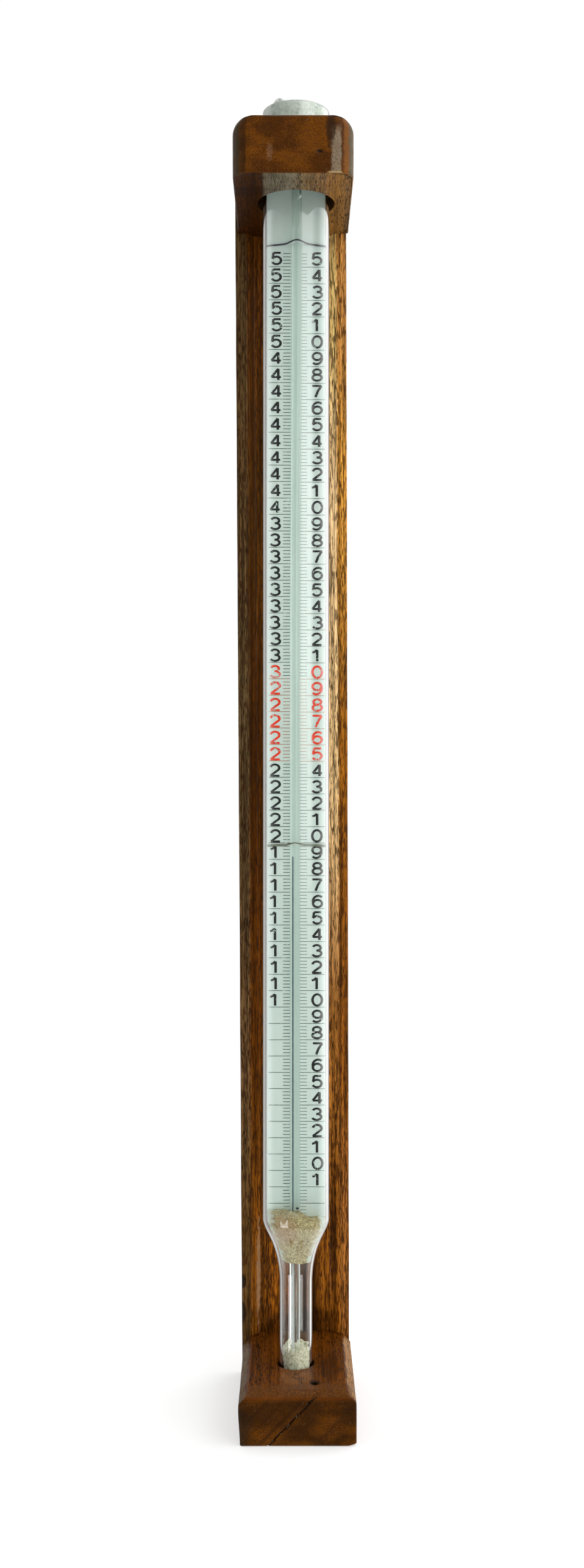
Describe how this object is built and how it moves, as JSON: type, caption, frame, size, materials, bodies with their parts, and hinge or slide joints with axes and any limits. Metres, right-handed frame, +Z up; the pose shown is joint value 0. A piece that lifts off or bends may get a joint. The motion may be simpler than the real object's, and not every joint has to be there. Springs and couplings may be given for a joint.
{
  "type": "enclosed-scale glass thermometer in a wooden stand",
  "caption": "Tall glass thermometer with an inner milk-glass scale and mercury thread, standing upright in a varnished wooden holder with a bored top block and a socketed base.",
  "frame": {"origin": "on the floor under the middle of the object's bounding box", "axes": "+Z up along the thermometer, -Y out of the front of the holder, +X to the reader's right"},
  "size_m": [0.055, 0.086, 0.5884],
  "materials": {
    "varnished_wood": "worn golden-brown varnish, long grain with open pores",
    "varnished_block_wood": "worn brown varnish, stippled end grain on the front",
    "screw_steel": "dull steel",
    "clear_glass": "clear, slightly green",
    "milk_glass": "opaque greenish white with an engraved scale",
    "mercury": "dark silver liquid",
    "dark_wire": "oxidised iron",
    "green_wire": "tarnished green-brown",
    "sand_packing": "sandy, coarse",
    "white_packing": "crumbly white"
  },
  "bodies": {
    "stand": {"back_board": "varnished_wood", "top_block": "varnished_block_wood", "base_block": "varnished_block_wood", "top_block_screws": "screw_steel", "base_block_screws": "screw_steel"},
    "thermometer": {"glass_envelope": "clear_glass", "scale_plate": "milk_glass", "capillary_tube": "clear_glass", "mercury_reservoir": "mercury", "mercury_thread": "mercury", "upper_binding_wire": "dark_wire", "lower_binding_wire": "green_wire", "hanger_wire": "dark_wire", "hanger_bead": "milk_glass", "shoulder_packing": "sand_packing", "stem_packing": "white_packing", "top_plug": "white_packing"},
    "mercury_top": {"mercury_meniscus": "mercury"}
  },
  "joints": [
    {"name": "thermometer_lift", "type": "slide", "parent": "stand", "child": "thermometer", "axis": [0, 0, 1], "range_m": [0, 0.57]},
    {"name": "mercury_rise", "type": "slide", "parent": "thermometer", "child": "mercury_top", "axis": [0, 0, 1], "range_m": [-0.1565, 0.2725], "deforming": ["mercury_thread"]}
  ]
}
